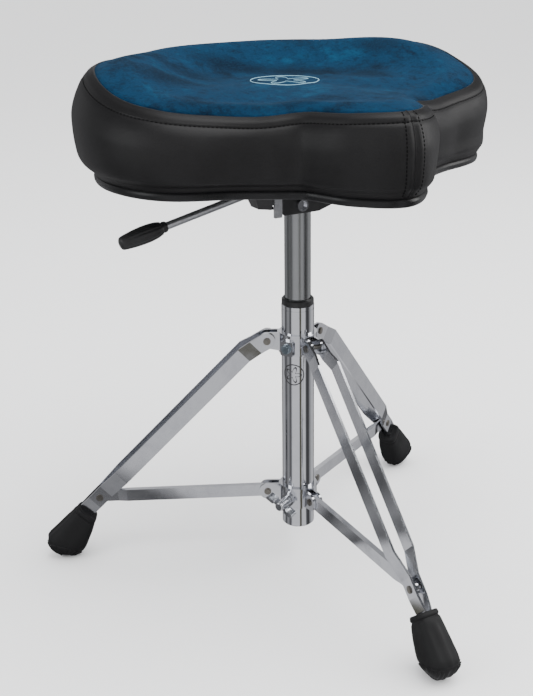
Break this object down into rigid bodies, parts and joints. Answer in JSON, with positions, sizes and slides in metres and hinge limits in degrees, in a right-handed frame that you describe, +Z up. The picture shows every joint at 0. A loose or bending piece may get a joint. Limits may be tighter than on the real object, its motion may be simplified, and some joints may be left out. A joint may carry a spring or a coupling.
{
  "type": "drum throne",
  "caption": "Saddle drum throne with a padded swivelling seat on a gas lift and a folding braced tripod base with rubber feet.",
  "frame": {"origin": "on the floor, on the column axis", "axes": "+Z up along the column; the nose of the saddle and the front leg point along -Y"},
  "size_m": [0.5054, 0.4818, 0.5522],
  "materials": {
    "chrome": "polished chrome plate",
    "cylinder_steel": "satin drawn steel",
    "zinc": "bright zinc plate",
    "bearing_steel": "ground steel",
    "mechanism_black": "black powder coat",
    "foot_rubber": "moulded matt rubber",
    "black_plastic": "moulded black plastic",
    "buffer_rubber": "moulded rubber",
    "board_wood": "raw plywood",
    "seat_vinyl": "black vinyl, fine grain",
    "welt_vinyl": "black vinyl cord",
    "top_velour": "brushed blue velour",
    "foam": "cut upholstery foam",
    "lining": "black non-woven lining"
  },
  "bodies": {
    "column": {"column_tube": "chrome", "guide_bush": "black_plastic", "base_plug": "zinc", "leg_hub": "chrome", "hub_clamp_screw": "zinc"},
    "lift_rod": {"piston_rod": "bearing_steel", "piston": "black_plastic", "thrust_washers": "bearing_steel", "thrust_balls": "bearing_steel", "bump_stop": "buffer_rubber", "rod_clip": "bearing_steel"},
    "seat": {"gas_cylinder": "cylinder_steel", "rod_guide": "bearing_steel", "cylinder_socket": "mechanism_black", "mechanism_channel": "mechanism_black", "channel_bolt": "chrome", "lever_guard_tab": "zinc", "lever_pin": "bearing_steel", "seat_plate": "mechanism_black", "plate_skirt": "mechanism_black", "plate_bolts": "zinc", "plate_washers": "zinc", "t_nuts": "zinc", "seat_board": "board_wood", "dust_cover": "lining", "seat_foam": "foam", "seat_side_cover": "seat_vinyl", "seat_top_panel": "top_velour", "seat_welt": "welt_vinyl"},
    "release_lever": {"lever_plate": "mechanism_black", "lever_rod": "zinc", "lever_grip": "black_plastic"},
    "valve": {"valve_button": "black_plastic"},
    "collar": {"brace_collar": "chrome", "collar_rivets": "chrome"},
    "wing": {"wing_bolt": "chrome"},
    "leg_front": {"leg_strip_front_a": "chrome", "leg_strip_front_b": "chrome", "pivot_rivet_front": "bearing_steel", "brace_rivet_front": "bearing_steel", "rubber_foot_front": "foot_rubber"},
    "brace_front": {"brace_front": "chrome"},
    "leg_left": {"leg_strip_left_a": "chrome", "leg_strip_left_b": "chrome", "pivot_rivet_left": "bearing_steel", "brace_rivet_left": "bearing_steel", "rubber_foot_left": "foot_rubber"},
    "brace_left": {"brace_left": "chrome"},
    "leg_right": {"leg_strip_right_a": "chrome", "leg_strip_right_b": "chrome", "pivot_rivet_right": "bearing_steel", "brace_rivet_right": "bearing_steel", "rubber_foot_right": "foot_rubber"},
    "brace_right": {"brace_right": "chrome"}
  },
  "joints": [
    {"name": "seat_swivel", "type": "hinge", "parent": "column", "child": "lift_rod", "pos_m": [0, 0, 0.05], "axis": [0, 0, 1], "continuous": true},
    {"name": "seat_height", "type": "slide", "parent": "lift_rod", "child": "seat", "axis": [0, 0, 1], "range_m": [-0.09, 0.04]},
    {"name": "lever_lift", "type": "hinge", "parent": "seat", "child": "release_lever", "pos_m": [-0.024, 0, 0.431], "axis": [0, 1, 0], "range_deg": [0, 6], "stiffness_Nm_per_rad": 1, "springref_deg": -8.59},
    {"name": "valve_press", "type": "slide", "parent": "seat", "child": "valve", "axis": [0, 0, -1], "range_m": [0, 0.0026]},
    {"name": "fold_collar", "type": "slide", "parent": "column", "child": "collar", "axis": [0, 0, 1], "range_m": [0, 0.1006]},
    {"name": "wing_bolt_turn", "type": "hinge", "parent": "collar", "child": "wing", "pos_m": [-0.02598, -0.015, 0.077], "axis": [-0.866, -0.5, 0], "continuous": true},
    {"name": "fold_leg_front", "type": "hinge", "parent": "column", "child": "leg_front", "pos_m": [0, -0.0328, 0.2584], "axis": [1, 0, 0], "range_deg": [0, 37.34]},
    {"name": "fold_brace_front", "type": "hinge", "parent": "collar", "child": "brace_front", "pos_m": [0, -0.0338, 0.0799], "axis": [1, 0, 0], "range_deg": [0, 76.9]},
    {"name": "fold_leg_left", "type": "hinge", "parent": "column", "child": "leg_left", "pos_m": [-0.02841, 0.0164, 0.2584], "axis": [-0.5, -0.866, 0], "range_deg": [0, 37.34]},
    {"name": "fold_brace_left", "type": "hinge", "parent": "collar", "child": "brace_left", "pos_m": [-0.02927, 0.0169, 0.0799], "axis": [-0.5, -0.866, 0], "range_deg": [0, 76.9]},
    {"name": "fold_leg_right", "type": "hinge", "parent": "column", "child": "leg_right", "pos_m": [0.02841, 0.0164, 0.2584], "axis": [-0.5, 0.866, 0], "range_deg": [0, 37.34]},
    {"name": "fold_brace_right", "type": "hinge", "parent": "collar", "child": "brace_right", "pos_m": [0.02927, 0.0169, 0.0799], "axis": [-0.5, 0.866, 0], "range_deg": [0, 76.9]}
  ],
  "couplings": [
    {"joint": "valve_press", "follows": "lever_lift", "m_per_rad": 0.023873},
    {"joint": "fold_leg_front", "follows": "fold_collar", "rad_per_m": 6.4751},
    {"joint": "fold_brace_front", "follows": "fold_collar", "rad_per_m": 13.338},
    {"joint": "fold_leg_left", "follows": "fold_collar", "rad_per_m": 6.4751},
    {"joint": "fold_brace_left", "follows": "fold_collar", "rad_per_m": 13.338},
    {"joint": "fold_leg_right", "follows": "fold_collar", "rad_per_m": 6.4751},
    {"joint": "fold_brace_right", "follows": "fold_collar", "rad_per_m": 13.338}
  ]
}
